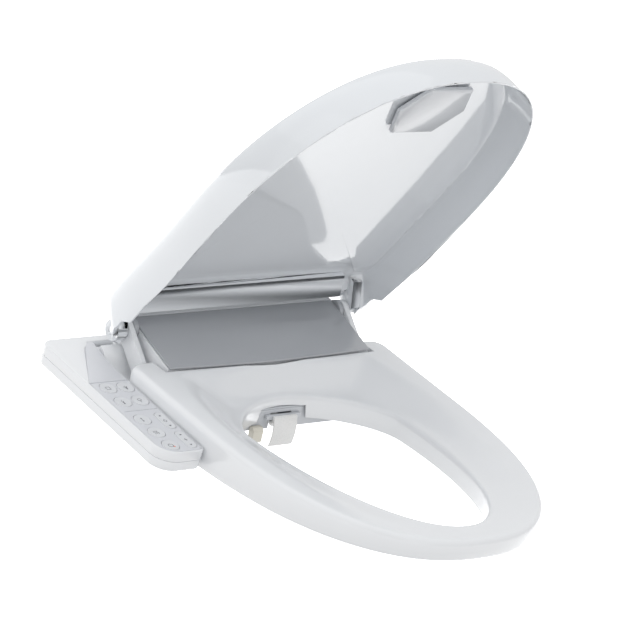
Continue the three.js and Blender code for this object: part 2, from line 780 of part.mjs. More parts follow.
function armTray() {
  const outer = upright(armOutline(0), -ARM_THICK, -ARM_SPLIT - GAP);
  const inner = upright(armOutline(2.4), -ARM_THICK + 2.4, 5);
  return piece('arm_tray', tiltArm(cut(outer, inner)), 'shell');
}

function fasciaOutline(inset) {
  return roundedOutline(
    ARM_OUTER_X + 2.2 + inset, ARM_INNER_X - 2 - inset, ARM_FRONT + 2.2 + inset,
    CHEEK_FRONT - 0.5 - inset, [0, 0, 22.8, 4.5], 6,
  );
}

// the panel's rear part sweeps up and narrows until it meets the housing's shoulder
function cheekOutline(inset) {
  const right = ARM_INNER_X - 2 - inset;
  const front = CHEEK_FRONT + inset;
  return [[ARM_OUTER_X + 2.2 + inset, front], [right, front], [right, CHEEK_REAR - inset],
    [-200 + inset, CHEEK_REAR - inset], [-205 + inset, CHEEK_REAR - 6]];
}

function armCheek() {
  const profile = [[CHEEK_FRONT - 5, -FASCIA_THICK], [CHEEK_FRONT - 5, 0], [CHEEK_FRONT, 0]];
  const run = CHEEK_REAR - 2 - CHEEK_FRONT;
  for (let i = 1; i <= 10; i += 1) {
    profile.push([CHEEK_FRONT + (run * i) / 10, CHEEK_RISE * (i / 10) ** 1.8]);
  }
  profile.push([CHEEK_REAR - 0.9, CHEEK_RISE - 0.6], [CHEEK_REAR - 0.2, CHEEK_RISE - 2]);
  profile.push([CHEEK_REAR + 5, -FASCIA_THICK]);
  const sweep = across(profile, -260, -180);
  const body = common(sweep, upright(cheekOutline(0), -10, 40));
  return piece('arm_cheek', tiltArm(body), 'fascia');
}

function controlFascia() {
  const sheet = upright(fasciaOutline(0), -FASCIA_THICK, -0.05);
  return piece('control_fascia', tiltArm(cut(sheet, ...buttonHoles())), 'fascia');
}

function controlBoard() {
  const plate = upright(roundedOutline(-243, -199, -188, -30, [3, 3, 18, 3], 3), -12, -10.4);
  const spots = [...Object.values(ROUND_BUTTONS), ...Object.values(PILL_BUTTONS)];
  const switches = spots.map(([x, y]) => box(x - 3, x + 3, y - 3, y + 3, -10.8, -8.6));
  return piece('control_board', tiltArm(join(plate, ...switches)), 'board');
}

function controlButtons() {
  const low = -BUTTON_DEPTH;
  return Object.entries(buttonShapes(0)).map(([name, points]) => {
    const [cx, cy] = ROUND_BUTTONS[name] || PILL_BUTTONS[name];
    const ring = (k, z) => points.map(([x, y]) => [cx + (x - cx) * k, cy + (y - cy) * k, z]);
    const cap = closedLoft([ring(1, low), ring(1, BUTTON_PROUD - 0.5), ring(0.95, BUTTON_PROUD)], false);
    return piece(name, tiltArm(cap), 'cap');
  });
}

// ---- washing parts ----
function alongNozzle(geometry, y, z) {
  return geometry.rotateX(rad(90 + NOZZLE_DEGREES)).translate(0, y, z);
}

function nozzleWand() {
  const [y, z] = NOZZLE_TIP;
  const rod = turned([[0, -88], [NOZZLE_RADIUS, -88], [NOZZLE_RADIUS, -8.4], [0, -8.4]], 28);
  return piece('nozzle_wand', alongNozzle(rod, y, z), 'nozzle');
}

function nozzleHead() {
  const [y, z] = NOZZLE_TIP;
  const head = turned([[0, -8.1], [NOZZLE_RADIUS, -8.1], [NOZZLE_RADIUS, -1.6], [5.9, 0], [0, 0]], 28);
  const jets = join(rodZ(0.9, 0, 0, -3.2, 3, 10));
  return piece('nozzle_head', alongNozzle(cut(head, jets), y, z), 'nozzle');
}

function nozzleCradle() {
  const outer = upright(roundedOutline(-12, 12, -12, 12, [4, 4, 4, 4], 3), -84, -26);
  const bore = rodZ(NOZZLE_RADIUS + 0.4, 0, 0, -120, 20, 28);
  const channel = alongNozzle(cut(outer, bore), ...NOZZLE_TIP);
  const clear = [box(-30, 30, -120, 60, -20, 9), box(-30, 30, -120, -66, -20, 90)];
  return piece('nozzle_cradle', cut(channel, ...clear), 'underside');
}

function nozzleMotor() {
  const body = rodX(14, 16, 42, -28, 46, 28);
  const gear = rodX(5, 12.6, 17, -28, 46, 20);
  return piece('nozzle_motor', join(body, gear), 'motor');
}

function nozzleGate() {
  const [y, z] = GATE_AXIS;
  const outline = [[y + 1.2, z + 2.2], [y - 2.2, z + 1.6], [y - 4.6, z - 8], [y - 5.4, z - 20],
    [y - 3.6, z - 32], [y + 0.4, z - 41], [y + 2.4, z - 40.4], [y - 1.4, z - 31.4],
    [y - 3.1, z - 20], [y - 2.2, z - 9], [y + 0.8, z - 1.4]];
  return piece('nozzle_gate', across(outline, -17, 17.5), 'nozzle');
}

function gateBracket() {
  const bar = box(-24, 27, -101.2, -97, 16.4, 21.6);
  return piece('gate_bracket', bar, 'underside');
}

function chuteBlock() {
  const outline = [[-106, -8], [-106, 6], [-103, 10], [-97, 10], [-97, -8]];
  return piece('nozzle_rinse_block', across(outline, -44, -29), 'block');
}

function heaterTank() {
  const outline = roundedOutline(-48, 10, 34, 62, [8, 8, 8, 8], 4);
  return piece('heater_tank', across(outline, -132, -46), 'tank');
}

function solenoidValve() {
  const body = box(60, 92, -22, 8, 12, 36);
  const coil = rodZ(11, 76, -7, 34, 56, 24);
  return piece('solenoid_valve', join(body, coil), 'motor');
}

function deodoriserFan() {
  const outline = roundedOutline(-40, 2, 34, 62, [12, 12, 12, 12], 4);
  const body = across(outline, 100, 126);
  return piece('deodoriser_fan', cut(body, rodX(9, 118, 140, -19, 48, 24)), 'motor');
}

function mainBoard() {
  const board = box(-120, 60, 20, 54, 18, 19.6);
  const chip = box(-60, -30, 28, 46, 19, 24);
  const drive = box(0, 26, 26, 50, 19, 34);
  return piece('main_board', join(board, chip, drive), 'board');
}

function waterInlet() {
  const profile = [[0, -14], [8, -14], [8, 0.5], [11, 0.5], [11, 5], [9.6, 6], [9.6, 18], [8.8, 19],
    [6, 19], [6, 4], [0, 4]];
  return piece('water_inlet', turned(profile, 24).rotateY(Math.PI / 2).translate(190.5, 30, 16), 'metal');
}

function cableGland() {
  const profile = [[0, 0], [9, 0], [9, 3], [6.5, 4], [5.4, 16], [0, 16]];
  const body = turned(profile, 20).rotateX(-Math.PI / 2);
  return piece('cable_gland', body.translate(150, HOUSING_REAR_Y + GAP, 16), 'rubber');
}

const root = new THREE.Group();
root.name = 'electric_bidet_seat';
root.add(
  mountingPlate(),
  baseTray(),
  frontCover(),
  housingCover(),
  topPlate(),
  deckPanel(),
  armTray(),
  armCover(),
  controlFascia(),
  armCheek(),
  controlBoard(),
  mainBoard(),
  heaterTank(),
  solenoidValve(),
  deodoriserFan(),
  waterInlet(),
  cableGland(),
  nozzleCradle(),
  nozzleMotor(),
  gateBracket(),
  chuteBlock(),
  damper('hinge_damper_left', -1),
  damper('hinge_damper_right', 1),
  hingePin('hinge_pin_left', -1),
  hingePin('hinge_pin_right', 1),
  seatTopShell(),
  seatBottomShell(),
  ...seatHeater(),
  seatLug('seat_lug_left', -1),
  seatLug('seat_lug_right', 1),
  seatBumper('seat_bumper_front_left', -129, -330, -67),
  seatBumper('seat_bumper_front_right', 129, -330, 67),
  seatBumper('seat_bumper_rear_left', -150, -190, 90),
  seatBumper('seat_bumper_rear_right', 150, -190, 90),
  lidShell(),
  lidWasher('lid_washer_left', -1),
  lidWasher('lid_washer_right', 1),
  lidPad(),
  nozzleWand(),
  nozzleHead(),
  nozzleGate(),
  ...controlButtons(),
  releaseButton(),
);

export default root;
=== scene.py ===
"""Looks of an electric bidet seat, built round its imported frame.

Shapes are drawn in millimetres in the row's frame and stored in metres: +Z up, -Y front,
control arm on -X, origin on the face that bolts to the bowl, midway between the bolts.
"""

import json
import math

import bmesh
import bpy
from mathutils import Matrix, Vector

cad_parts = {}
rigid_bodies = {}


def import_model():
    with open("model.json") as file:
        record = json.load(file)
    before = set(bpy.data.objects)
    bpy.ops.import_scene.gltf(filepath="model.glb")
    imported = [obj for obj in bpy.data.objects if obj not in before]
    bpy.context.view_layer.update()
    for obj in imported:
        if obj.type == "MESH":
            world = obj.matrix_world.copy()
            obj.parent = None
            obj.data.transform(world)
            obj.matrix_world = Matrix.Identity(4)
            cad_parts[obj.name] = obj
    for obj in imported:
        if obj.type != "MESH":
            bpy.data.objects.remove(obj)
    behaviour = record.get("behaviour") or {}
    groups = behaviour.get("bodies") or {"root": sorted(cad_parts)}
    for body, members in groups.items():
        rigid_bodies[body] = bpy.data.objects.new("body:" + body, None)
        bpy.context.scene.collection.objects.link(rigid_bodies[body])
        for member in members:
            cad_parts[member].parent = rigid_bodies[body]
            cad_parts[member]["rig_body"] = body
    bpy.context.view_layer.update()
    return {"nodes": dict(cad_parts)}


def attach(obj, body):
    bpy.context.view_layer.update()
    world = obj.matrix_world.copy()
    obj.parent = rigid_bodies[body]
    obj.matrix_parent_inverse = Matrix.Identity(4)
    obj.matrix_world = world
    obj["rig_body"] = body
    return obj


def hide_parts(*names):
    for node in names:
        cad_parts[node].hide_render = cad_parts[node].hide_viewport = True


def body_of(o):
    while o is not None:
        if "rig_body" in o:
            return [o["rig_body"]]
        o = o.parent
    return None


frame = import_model()

MM = 0.001

# ---- driving dimensions, the same as the frame's ----
HINGE_Y, HINGE_Z = 13.4, 91.6

SEAT_HALF_WIDTH = 189
SEAT_WIDEST_Y = -175.7
SEAT_TIP_Y = -458.8
SEAT_REAR_Y = -34
SEAT_CORNER = 15
SEAT_POWER = 2.385
SEAT_BOTTOM_Z = 13.4
SEAT_TOP_SLOPE = 0.082
SEAT_TOP_AT_ORIGIN = 75.08
SEAT_EDGE_RADIUS = 8

HOLE_HALF_WIDTH = 112.5
HOLE_CENTRE_Y = -178.4
HOLE_FRONT, HOLE_REAR = 241.9, 84.7
HOLE_FRONT_POWER, HOLE_REAR_POWER = 2.12, 1.75
HOLE_EDGE_Z = 42.5
HOLE_EDGE_SLOPE = 0.014

NOTCH_HALF_WIDTH = 156.5
NOTCH_Y = -64.2
NOTCH_BOW = 3.5
BRIDGE_BOTTOM_Z = 29.5
BRIDGE_FRONT_Y = -99

LID_HALF_WIDTH = 192.8
LID_WIDEST_Y = -197.6
LID_TIP_Y = -475.2
LID_POWER = 2.3
LID_REAR_HALF_WIDTH = 187
LID_REAR_Y = 33
LID_CORNER = 26
LID_EDGE_AT_ORIGIN = 66.8
LID_CROWN_RISE = 9
LID_CROWN_MIDDLE_Y = -215
LID_TIP_RAKE = 13
LID_REAR_SWELL = 0.12
LID_SLIDE_OUTSIDE, LID_SLIDE_INSIDE = 0.72, 1
LID_LUG_RADIUS = 12.5
PIN_BORE_RADIUS = 5.08
LID_OPEN_DEGREES = 61.7
LUG_LID_IN, LUG_LID_OUT = 168, 181

ARM_OUTER_X, ARM_INNER_X = -248.3, -191.5
ARM_FRONT, ARM_REAR = -195, 52
ARM_TILT = math.atan(0.114)
ARM_TOP_Z = 62.08
ARM_THICK = 25.5
BUTTON_HOLE_GAP = 0.45
RECESS_DEPTH = 1.7
CHEEK_FRONT = -44
CHEEK_REAR = 30
WING_X = -152.8

ROUND_RADIUS = 10.2
PILL_LENGTH, PILL_WIDTH = 33, 13.5
ROUND_BUTTONS = {
    "button_stop": (-229, -57.5),
    "button_rear": (-205.5, -59),
    "button_soft": (-229, -87),
    "button_front": (-205.5, -87.5),
    "button_oscillate": (-229, -125),
    "button_dryer": (-229, -152),
    "button_power": (-228.5, -178.5),
}
PILL_BUTTONS = {
    "button_pressure": (-202, -131.5),
    "button_position": (-202, -171.5),
}


# ---- small geometry helpers ----
def smooth(t):
    u = min(1.0, max(0.0, t))
    return u * u * (3 - 2 * u)


def spline(points, parts):
    """A smooth curve through the points, with that many parts to each gap."""
    out = []
    last = len(points) - 1
    for k in range(last):
        p0, p1, p2, p3 = (points[max(0, k - 1)], points[k], points[k + 1], points[min(last, k + 2)])
        for i in range(parts):
            t = i / parts
            out.append(tuple(
                0.5 * (2 * b + (c - a) * t + (2 * a - 5 * b + 4 * c - d) * t * t
                       + (3 * b - a - 3 * c + d) * t ** 3)
                for a, b, c, d in zip(p0, p1, p2, p3)
            ))
    out.append(tuple(points[last]))
    return out


def rounded_outline(x0, x1, y0, y1, radii, steps=10):
    corners = [(x1, y1, radii[0], 0), (x0, y1, radii[1], 90), (x0, y0, radii[2], 180), (x1, y0, radii[3], 270)]
    points = []
    for cx, cy, r, start in corners:
        in_x = cx - math.copysign(r, cx - (x0 + x1) / 2)
        in_y = cy - math.copysign(r, cy - (y0 + y1) / 2)
        count = steps if r > 0 else 0
        for i in range(count + 1):
            a = math.radians(start + (90 * i / count if count else 0))
            points.append((in_x + r * math.cos(a), in_y + r * math.sin(a)))
    return points


def arc(y, z, radius, start, end, steps):
    out = []
    for i in range(steps + 1):
        a = math.radians(start + (end - start) * i / steps)
        out.append((y + radius * math.cos(a), z + radius * math.sin(a)))
    return out


def loft(rings, wrap=False):
    count = len(rings[0])
    points = [p for ring in rings for p in ring]
    faces = []
    for k in range(len(rings) if wrap else len(rings) - 1):
        a, b = k * count, ((k + 1) % len(rings)) * count
        for i in range(count):
            j = (i + 1) % count
            faces.append((a + i, a + j, b + j, b + i))
    if not wrap:
        faces.append(tuple(reversed(range(count))))
        faces.append(tuple(range((len(rings) - 1) * count, len(rings) * count)))
    return points, faces


def upright(outline, low, high):
    return loft([[(x, y, low) for x, y in outline], [(x, y, high) for x, y in outline]])


def across(outline, low, high):
    return loft([[(low, y, z) for y, z in outline], [(high, y, z) for y, z in outline]])


def moved(shape, move):
    points, faces = shape
    return [move(*p) for p in points], faces


def tilt_arm(x, y, w):
    c, s = math.cos(ARM_TILT), math.sin(ARM_TILT)
    return (x, y * c - w * s, y * s + w * c + ARM_TOP_Z)


def open_lid(x, y, z):
    a = -math.radians(LID_OPEN_DEGREES)
    c, s = math.cos(a), math.sin(a)
    y, z = y - HINGE_Y, z - HINGE_Z
    return (x, y * c - z * s + HINGE_Y, y * s + z * c + HINGE_Z)


# ---- objects ----
def new_object(name, shape):
    points, faces = shape
    mesh = bpy.data.meshes.new(name)
    mesh.from_pydata([Vector(p) * MM for p in points], [], faces)
    work = bmesh.new()
    work.from_mesh(mesh)
    bmesh.ops.remove_doubles(work, verts=work.verts, dist=1e-6)
    bmesh.ops.recalc_face_normals(work, faces=work.faces)
    work.to_mesh(mesh)
    work.free()
    obj = bpy.data.objects.new(name, mesh)
    bpy.context.scene.collection.objects.link(obj)
    return obj


def bake(obj):
    bpy.context.view_layer.update()
    graph = bpy.context.evaluated_depsgraph_get()
    mesh = bpy.data.meshes.new_from_object(obj.evaluated_get(graph))
    obj.modifiers.clear()
    obj.data = mesh


def carve(obj, tools, operation="DIFFERENCE"):
    """Cuts each tool out of obj, or keeps what they share, and removes the tools."""
    for tool in tools:
        step = obj.modifiers.new("carve", "BOOLEAN")
        step.operation = operation
        step.solver = "EXACT"
        step.object = tool
    bake(obj)
    for tool in tools:
        bpy.data.objects.remove(tool)


def soften(obj, width, segments=3, angle=28, merge=True):
    """Rounds the sharp edges of obj by width millimetres."""
    if merge:
        flat = obj.modifiers.new("flat", "DECIMATE")
        flat.decimate_type = "DISSOLVE"
        flat.angle_limit = math.radians(0.6)
    edge = obj.modifiers.new("edge", "BEVEL")
    edge.width = width * MM
    edge.segments = segments
    edge.limit_method = "ANGLE"
    edge.angle_limit = math.radians(angle)
    edge.use_clamp_overlap = True
    edge.harden_normals = True
    for face in obj.data.polygons:
        face.use_smooth = True
    bake(obj)


def dress(obj, material, body, sharp=34):
    """Gives obj its finish and the body that it rides on."""
    obj.data.materials.clear()
    obj.data.materials.append(material)
    for face in obj.data.polygons:
        face.use_smooth = True
        face.material_index = 0
    obj.data.set_sharp_from_angle(angle=math.radians(sharp))
    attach(obj, body)
    return obj


def home(node):
    return body_of(frame["nodes"][node])[0]


def refine(node, material, width, segments=3, angle=28, sharp=34):
    """A finer copy of a CAD node with rounded edges, shown in its place."""
    obj = bpy.data.objects.new(node + "_piece", frame["nodes"][node].data.copy())
    bpy.context.scene.collection.objects.link(obj)
    work = bmesh.new()
    work.from_mesh(obj.data)
    bmesh.ops.remove_doubles(work, verts=work.verts, dist=2e-6)
    work.to_mesh(obj.data)
    work.free()
    soften(obj, width, segments, angle)
    dress(obj, material, home(node), sharp)
    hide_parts(node)
    return obj


# ---- materials ----
def new_material(name):
    mat = bpy.data.materials.new(name)
    mat.use_nodes = True
    nodes = mat.node_tree.nodes
    shader = nodes["Principled BSDF"]
    place = nodes.new("ShaderNodeTexCoord")
    return mat, nodes, mat.node_tree.links, shader, place.outputs["Object"]


def noise(nodes, links, place, size, detail=2.0):
    """Noise with features of about size millimetres."""
    tex = nodes.new("ShaderNodeTexNoise")
    tex.inputs["Scale"].default_value = 1 / (size * MM)
    tex.inputs["Detail"].default_value = detail
    links.new(place, tex.inputs["Vector"])
    return tex.outputs["Fac"]


def graded(nodes, links, value, low, high):
    ramp = nodes.new("ShaderNodeMapRange")
    ramp.inputs["From Min"].default_value = 0.3
    ramp.inputs["From Max"].default_value = 0.7
    ramp.inputs["To Min"].default_value = low
    ramp.inputs["To Max"].default_value = high
    links.new(value, ramp.inputs["Value"])
    return ramp.outputs["Result"]


def two_tone(nodes, links, value, first, second):
    mix = nodes.new("ShaderNodeMix")
    mix.data_type = "RGBA"
    mix.inputs["A"].default_value = (*first, 1)
    mix.inputs["B"].default_value = (*second, 1)
    links.new(graded(nodes, links, value, 0, 1), mix.inputs["Factor"])
    return mix.outputs["Result"]


def bumped(nodes, links, height, depth, edge=0.0):
    bump = nodes.new("ShaderNodeBump")
    bump.inputs["Strength"].default_value = 1
    bump.inputs["Distance"].default_value = depth * MM
    links.new(height, bump.inputs["Height"])
    if edge:
        round_edge = nodes.new("ShaderNodeBevel")
        round_edge.samples = 4
        round_edge.inputs["Radius"].default_value = edge * MM
        links.new(round_edge.outputs["Normal"], bump.inputs["Normal"])
    return bump.outputs["Normal"]


def shade(colour, k):
    return tuple(c * k for c in colour)


def plastic(name, colour, rough, grain, depth, coat=0.0, coat_rough=0.05, edge=0.0):
    """Moulded plastic: a fine skin texture, and slight drift in colour and gloss."""
    mat, nodes, links, shader, place = new_material(name)
    broad = noise(nodes, links, place, 70, 3)
    links.new(two_tone(nodes, links, broad, colour, shade(colour, PLASTIC_DRIFT)), shader.inputs["Base Color"])
    fine = noise(nodes, links, place, grain, 3)
    links.new(graded(nodes, links, fine, rough * 0.92, rough * 1.1), shader.inputs["Roughness"])
    links.new(bumped(nodes, links, fine, depth, edge), shader.inputs["Normal"])
    shader.inputs["Coat Weight"].default_value = coat
    shader.inputs["Coat Roughness"].default_value = coat_rough
    return mat


def circuit_board(name, colour, copper):
    """Green board with a maze of tracks under the varnish."""
    mat, nodes, links, shader, place = new_material(name)
    tracks = nodes.new("ShaderNodeTexBrick")
    tracks.inputs["Scale"].default_value = 160
    tracks.inputs["Color1"].default_value = (*colour, 1)
    tracks.inputs["Color2"].default_value = (*shade(colour, 1.25), 1)
    tracks.inputs["Mortar"].default_value = (*copper, 1)
    tracks.inputs["Mortar Size"].default_value = 0.012
    links.new(place, tracks.inputs["Vector"])
    links.new(tracks.outputs["Color"], shader.inputs["Base Color"])
    fine = noise(nodes, links, place, 1.5)
    links.new(graded(nodes, links, fine, 0.25, 0.4), shader.inputs["Roughness"])
    return mat


def brushed_metal(name, colour, rough, stretch):
    mat, nodes, links, shader, place = new_material(name)
    turn = nodes.new("ShaderNodeMapping")
    turn.inputs["Scale"].default_value = stretch
    links.new(place, turn.inputs["Vector"])
    lines = noise(nodes, links, turn.outputs["Vector"], 1.2, 4)
    links.new(two_tone(nodes, links, lines, colour, shade(colour, 0.86)), shader.inputs["Base Color"])
    links.new(graded(nodes, links, lines, rough * 0.8, rough * 1.3), shader.inputs["Roughness"])
    links.new(bumped(nodes, links, lines, 0.01), shader.inputs["Normal"])
    shader.inputs["Metallic"].default_value = 1
    return mat


PLASTIC_DRIFT = 0.985 # a plastic's darkest tone as a share of its lightest

MATERIALS = {
    "shell": plastic("gloss_white", (0.84, 0.855, 0.875), 0.2, 2.4, 0.003, coat=0.35, edge=0.6),
    "lid": plastic("gloss_white_lid", (0.76, 0.785, 0.815), 0.1, 2.4, 0.002, coat=0.7, coat_rough=0.03,
                   edge=0.6),
    "pad": plastic("lid_pad_plastic", (0.7, 0.715, 0.74), 0.22, 1.6, 0.003, coat=0.3, edge=0.6),
    # the plate's grey is painted shade: its colour is darkened to stand in for the shade that the open lid
    # casts on it
    "plate": plastic("plate_grey_with_painted_shade", (0.41, 0.425, 0.45), 0.2, 2.4, 0.003, coat=0.35, edge=0.6),
    "underside": plastic("satin_pale", (0.62, 0.64, 0.67), 0.38, 0.8, 0.01, edge=0.4),
    "fascia": plastic("satin_fascia", (0.69, 0.705, 0.74), 0.42, 0.35, 0.012, edge=0.3),
    "cap": plastic("button_plastic", (0.72, 0.735, 0.76), 0.34, 0.6, 0.006, edge=0.3),
    "hinge": plastic("hinge_grey", (0.42, 0.435, 0.46), 0.33, 0.8, 0.008, edge=0.5),
    "nozzle": plastic("nozzle_white", (0.84, 0.84, 0.83), 0.28, 1.2, 0.004, coat=0.2, edge=0.4),
    "block": plastic("block_cream", (0.74, 0.71, 0.62), 0.4, 0.8, 0.01, edge=0.3),
    "rubber": plastic("soft_rubber", (0.5, 0.51, 0.52), 0.62, 0.5, 0.03, edge=0.4),
    "tank": plastic("tank_plastic", (0.72, 0.68, 0.57), 0.35, 1.5, 0.01),
    "motor": plastic("motor_black", (0.06, 0.065, 0.075), 0.4, 0.5, 0.02),
    "ink": plastic("print_ink", (0.07, 0.075, 0.09), 0.5, 0.3, 0.004),
    "groove": plastic("print_line", (0.3, 0.31, 0.34), 0.5, 0.3, 0.004),
    "lamp": plastic("lamp_orange", (0.8, 0.16, 0.05), 0.3, 0.6, 0.004),
    "board": circuit_board("board_green", (0.02, 0.16, 0.06), (0.35, 0.25, 0.09)),
    "metal": brushed_metal("zinc_steel", (0.62, 0.63, 0.65), 0.32, (1, 12, 12)),
    "foil": brushed_metal("heater_foil", (0.72, 0.5, 0.28), 0.4, (6, 1, 1)),
}


# ---- outlines in plan ----
def egg_width(y, half, widest, tip, power):
    t = (widest - y) / (widest - tip)
    if t <= 0:
        return half
    return 0 if t >= 1 else half * (1 - t ** power) ** (1 / power)


def inside_corner(x, y, half, rear, corner):
    dx, dy = x - (half - corner), y - (rear - corner)
    if dx <= 0 or dy <= 0:
        return x <= half and y <= rear
    return dx * dx + dy * dy <= corner * corner


def inside_seat(x, y):
    if y < SEAT_WIDEST_Y:
        return y > SEAT_TIP_Y and abs(x) <= egg_width(y, SEAT_HALF_WIDTH, SEAT_WIDEST_Y, SEAT_TIP_Y, SEAT_POWER)
    return inside_corner(abs(x), y, SEAT_HALF_WIDTH, SEAT_REAR_Y, SEAT_CORNER)


def inside_hole(x, y):
    front = y < HOLE_CENTRE_Y
    power = HOLE_FRONT_POWER if front else HOLE_REAR_POWER
    reach = HOLE_FRONT if front else HOLE_REAR
    return (abs(x) / HOLE_HALF_WIDTH) ** power + (abs(y - HOLE_CENTRE_Y) / reach) ** power <= 1


def lid_half_width(y):
    t = max(0, (y - LID_WIDEST_Y) / (HINGE_Y - LID_WIDEST_Y))
    return LID_HALF_WIDTH - (LID_HALF_WIDTH - LID_REAR_HALF_WIDTH) * t * t


def inside_lid(x, y):
    if y < LID_WIDEST_Y:
        return y > LID_TIP_Y and abs(x) <= egg_width(y, LID_HALF_WIDTH, LID_WIDEST_Y, LID_TIP_Y, LID_POWER)
    return inside_corner(abs(x), y, lid_half_width(y), LID_REAR_Y, LID_CORNER)


def edge_point(inside, centre_y, angle):
    c, s = math.cos(angle), math.sin(angle)
    low, high = 0.0, 600.0
    for _ in range(34):
        middle = (low + high) / 2
        if inside(c * middle, centre_y + s * middle):
            low = middle
        else:
            high = middle
    return (c * low, centre_y + s * low)


def stations(step, fine, dense):
    """Angles once round, with fine steps between the dense limits on both sides."""
    half = [-90.0]
    while half[-1] < 90 - 1e-6:
        near = any(start <= half[-1] < end for start, end in dense)
        half.append(min(90.0, half[-1] + (fine if near else step)))
    left = [180 - a for a in reversed(half[1:-1])]
    return [math.radians(a) for a in half + left]


# ---- lid ----
LID_OUTER = [(0, 0), (1.4, 12), (2, 24), (1.2, 36), (-1.4, 45), (-6, 50.8), (-12, 53.2), (-18, 54)]
LID_INNER = [(-1.6, -15), (-1.6, 0), (-1.5, 12), (-2, 24), (-3.2, 36), (-4.2, 42), (-6.5, 45.4), (-20, 46)]
LID_TOP_OUTSIDE, LID_TOP_INSIDE = 54, 46
LID_SIDE_CUT = [(-38, 40), (-29.5, 67), (-26, 72), (-16.8, 81.3), (19.3, 85.6), (70, 86), (70, 40)]
LID_MIDDLE_CUT = [(-24.5, 40), (-24.5, 105.4), (0, 105.4), (1.5, 106.8), (3.2, 108), (4.6, 108.8),
                  (60, 108.8), (60, 40)]
LID_NOSE = [(-30, 109.5), (-23.4, 105.4), (-6.5, 97.2), (-5.05, 97.6), (-3.4, 101.3), (-1, 104.6),
            (2, 107.3), (4.3, 108.9), (4.3, 120), (-30, 120)]
LUG_WEB = [(4, 84), (22, 84), (22, 118), (-22, 126), (-22, 104)]


def lid_edge(y):
    return LID_EDGE_AT_ORIGIN + SEAT_TOP_SLOPE * y


def crown_rise(x, y):
    front = y < LID_CROWN_MIDDLE_Y
    reach = LID_CROWN_MIDDLE_Y - LID_TIP_Y - 26 if front else -24 - LID_CROWN_MIDDLE_Y
    wide = max(25, egg_width(y, 173, LID_WIDEST_Y, LID_TIP_Y + 26, LID_POWER))
    side, along = min(1, abs(x) / wide), min(1, abs(y - LID_CROWN_MIDDLE_Y) / reach)
    return LID_CROWN_RISE * (1 - side * side) * (1 - along * along)


def outline_normals(outline):
    normals = []
    for i in range(len(outline)):
        before, after = outline[i - 1], outline[(i + 1) % len(outline)]
        dx, dy = after[0] - before[0], after[1] - before[1]
        length = math.hypot(dx, dy)
        normals.append((dy / length, -dx / length))
    return normals


def lid_ring(outline, normals, offset, height, outside):
    """One level of the lid's wall: the tip and the rear both lean inward as they rise."""
    swell, slide = (LID_REAR_SWELL, LID_SLIDE_OUTSIDE) if outside else (0, LID_SLIDE_INSIDE)
    ring = []
    for (x, y), (nx, ny) in zip(outline, normals):
        front = max(0, (LID_WIDEST_Y - y) / (LID_WIDEST_Y - LID_TIP_Y)) ** 2
        move = offset - LID_TIP_RAKE * front * min(height, 45) / 45
        back = slide * smooth((y + 62) / 95) * max(0, min(height, 50))
        lift = 6.5 * smooth((y + 120) / 90) * max(0, 1 - height / 12) if outside else 0
        tall = height * (1 + swell * smooth((y + 150) / 120))
        ring.append((x + nx * move, y + ny * move - back, lid_edge(y) + tall + lift))
    return ring


def top_height(y, level, swell):
    return level * (1 + swell * smooth((y + 150) / 120))


def crown_ring(ring, scale, level, swell):
    """The rim's ring, shrunk about the dome's middle. What is uneven in the rim fades fast."""
    row = []
    for x, y, z in ring:
        nx, ny = x * scale, LID_CROWN_MIDDLE_Y + (y - LID_CROWN_MIDDLE_Y) * scale
        uneven = (z - lid_edge(y) - top_height(y, level, swell)) * scale ** 8
        row.append((nx, ny, lid_edge(ny) + top_height(ny, level, swell) + uneven + crown_rise(nx, ny)))
    return row


def lid_solid(outside):
    angles = stations(1.5, 0.5, [(40, 58)])
    outline = [edge_point(inside_lid, LID_WIDEST_Y, a) for a in angles]
    normals = outline_normals(outline)
    curve = spline(LID_OUTER if outside else LID_INNER, 4)
    level = LID_TOP_OUTSIDE if outside else LID_TOP_INSIDE
    rings = [lid_ring(outline, normals, offset, height, outside) for offset, height in curve]
    last = rings[-1]
    swell = LID_REAR_SWELL if outside else 0
    rings += [crown_ring(last, 1 - 0.04 * k, level, swell) for k in range(1, 24)]
    return loft(rings)


def lid_part(name, shape):
    return new_object(name, moved(shape, open_lid))


def rod(radius, low, high, sides=48):
    return across(arc(HINGE_Y, HINGE_Z, radius, 0, 360 - 360 / sides, sides - 1), low, high)


def build_lid():
    lid = lid_part("lid_moulding", lid_solid(True))
    carve(lid, [lid_part("hollow", lid_solid(False)), lid_part("sides", across(LID_SIDE_CUT, -260, 260)),
                lid_part("middle", across(LID_MIDDLE_CUT, -167.9, 167.9))])
    nose = lid_part("nose", across(LID_NOSE, -152, 152))
    carve(nose, [lid_part("envelope", lid_solid(True))], "INTERSECT")
    carve(lid, [nose], "UNION")
    for side in (-1, 1):
        ends = sorted((side * LUG_LID_IN, side * LUG_LID_OUT))
        web = lid_part("web", across(LUG_WEB, *ends))
        carve(web, [lid_part("envelope", lid_solid(True))], "INTERSECT")
        carve(lid, [web, lid_part("eye", rod(LID_LUG_RADIUS, *ends))], "UNION")
    carve(lid, [lid_part("bore", rod(PIN_BORE_RADIUS, -181.2, 181.2, 32))])
    soften(lid, 0.8, merge=False)
    dress(lid, MATERIALS["lid"], "lid", sharp=40)
    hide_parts("lid_shell")


